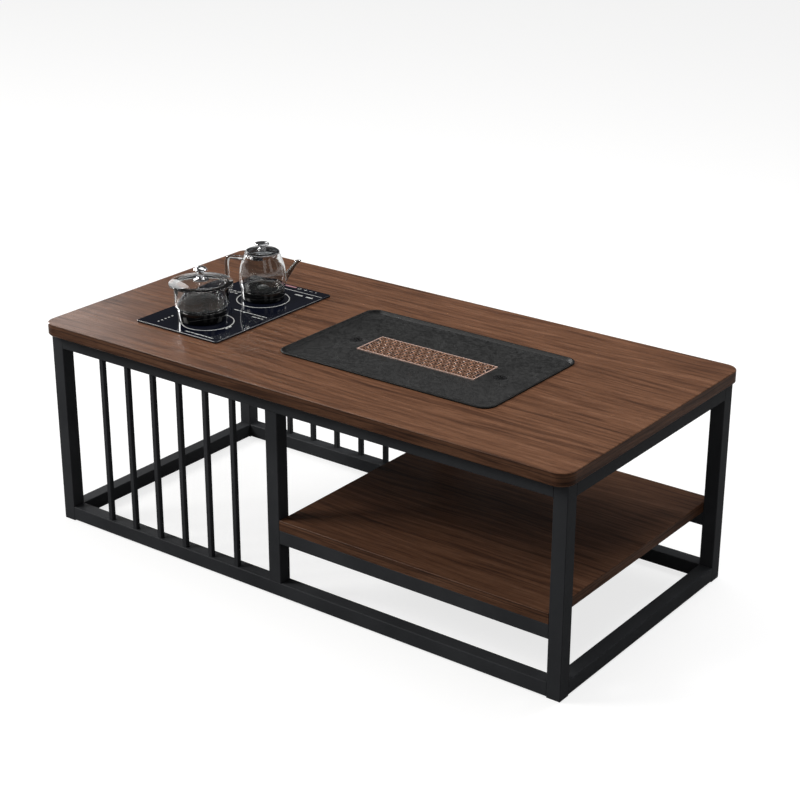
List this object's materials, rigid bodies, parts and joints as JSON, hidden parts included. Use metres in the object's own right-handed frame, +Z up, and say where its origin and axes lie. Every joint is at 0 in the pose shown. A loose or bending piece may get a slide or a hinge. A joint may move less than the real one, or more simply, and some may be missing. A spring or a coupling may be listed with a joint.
{
  "type": "gongfu tea table",
  "caption": "Low tea table: square steel tube frame with a shelf and a barred bay, a wooden top with a let-in hob, glass kettle and pot, and a drained tea tray.",
  "frame": {"origin": "on the floor under the middle of the wooden top", "axes": "+X along the table's length towards the shelf end, +Y towards the back, +Z up; the barred front faces -Y"},
  "size_m": [1.2, 0.6, 0.5435],
  "materials": {
    "frame_steel": "charcoal powder coat, fine texture, semi-matt",
    "foot_plastic": "moulded black plastic",
    "top_wood": "walnut, satin lacquer, grain along the length",
    "shelf_wood": "walnut, satin lacquer, grain along the length",
    "hob_glass": "opaque black ceramic glass, polished",
    "gasket_rubber": "soft black foam strip",
    "housing_metal": "galvanised sheet",
    "circuit_board": "green board with a bare aluminium sink",
    "coil_copper": "wound copper wire",
    "inner_plastic": "moulded plastic",
    "zinc_metal": "zinc-plated sheet",
    "polished_steel": "polished stainless steel",
    "base_plastic": "smooth black plastic",
    "valve_rubber": "soft silicone",
    "clear_glass": "clear borosilicate glass, polished",
    "tray_black": "near-black, very fine matt texture",
    "border_metal": "rose-toned anodised, satin",
    "grille_brown": "dark reddish-brown, carved lattice",
    "strainer_metal": "black, semi-matt"
  },
  "bodies": {
    "table": {"back_bars": "frame_steel", "back_bottom_rail": "frame_steel", "back_left_post": "frame_steel", "back_middle_post": "frame_steel", "back_right_post": "frame_steel", "back_shelf_rail": "frame_steel", "back_top_rail": "frame_steel", "coil_carriers": "inner_plastic", "control_board": "circuit_board", "fan_frame": "inner_plastic", "fill_nozzle": "polished_steel", "foot_plugs": "foot_plastic", "front_bars": "frame_steel", "front_bottom_rail": "frame_steel", "front_coil": "coil_copper", "front_left_post": "frame_steel", "front_middle_post": "frame_steel", "front_right_post": "frame_steel", "front_shelf_rail": "frame_steel", "front_top_rail": "frame_steel", "hob_clamps": "zinc_metal", "hob_gasket": "gasket_rubber", "hob_glass": "hob_glass", "hob_housing": "housing_metal", "left_bottom_rail": "frame_steel", "left_top_rail": "frame_steel", "power_gland": "inner_plastic", "rear_coil": "coil_copper", "right_bottom_rail": "frame_steel", "right_top_rail": "frame_steel", "shelf_board": "shelf_wood", "shelf_tabs": "frame_steel", "tabletop": "top_wood", "top_tabs": "frame_steel", "water_inlet": "inner_plastic", "water_pump": "inner_plastic"},
    "kettle": {"kettle_base": "base_plastic", "kettle_valve": "valve_rubber", "kettle_glass": "clear_glass", "kettle_spout": "clear_glass", "kettle_handle": "clear_glass"},
    "kettle_lid": {"kettle_lid_band": "polished_steel", "kettle_lid_glass": "clear_glass", "kettle_lid_knob": "polished_steel"},
    "pot": {"pot_base": "base_plastic", "pot_glass": "clear_glass"},
    "pot_lid": {"pot_lid_glass": "clear_glass", "pot_lid_knob": "polished_steel"},
    "tray": {"tea_tray": "tray_black", "drain_pan": "tray_black", "drain_spigot": "inner_plastic", "spigot_nut": "inner_plastic"},
    "grille": {"grille_border": "border_metal", "drain_grille": "grille_brown"},
    "left_strainer": {"left_strainer": "strainer_metal"},
    "right_strainer": {"right_strainer": "strainer_metal"},
    "fan": {"fan_rotor": "inner_plastic"}
  },
  "joints": [
    {"name": "kettle_lift", "type": "slide", "parent": "table", "child": "kettle", "axis": [0, 0, 1], "range_m": [0, 0.12]},
    {"name": "kettle_lid_lift", "type": "slide", "parent": "kettle", "child": "kettle_lid", "axis": [0, 0, 1], "range_m": [0, 0.05]},
    {"name": "pot_lift", "type": "slide", "parent": "table", "child": "pot", "axis": [0, 0, 1], "range_m": [0, 0.12]},
    {"name": "pot_lid_lift", "type": "slide", "parent": "pot", "child": "pot_lid", "axis": [0, 0, 1], "range_m": [0, 0.05]},
    {"name": "tray_lift", "type": "slide", "parent": "table", "child": "tray", "axis": [0, 0, 1], "range_m": [0, 0.08]},
    {"name": "grille_lift", "type": "slide", "parent": "tray", "child": "grille", "axis": [0, 0, 1], "range_m": [0, 0.03]},
    {"name": "left_strainer_lift", "type": "slide", "parent": "tray", "child": "left_strainer", "axis": [0, 0, 1], "range_m": [0, 0.03]},
    {"name": "right_strainer_lift", "type": "slide", "parent": "tray", "child": "right_strainer", "axis": [0, 0, 1], "range_m": [0, 0.03]},
    {"name": "fan_spin", "type": "hinge", "parent": "table", "child": "fan", "pos_m": [-0.358, -0.104, 0.372], "axis": [0, 0, 1], "continuous": true}
  ]
}
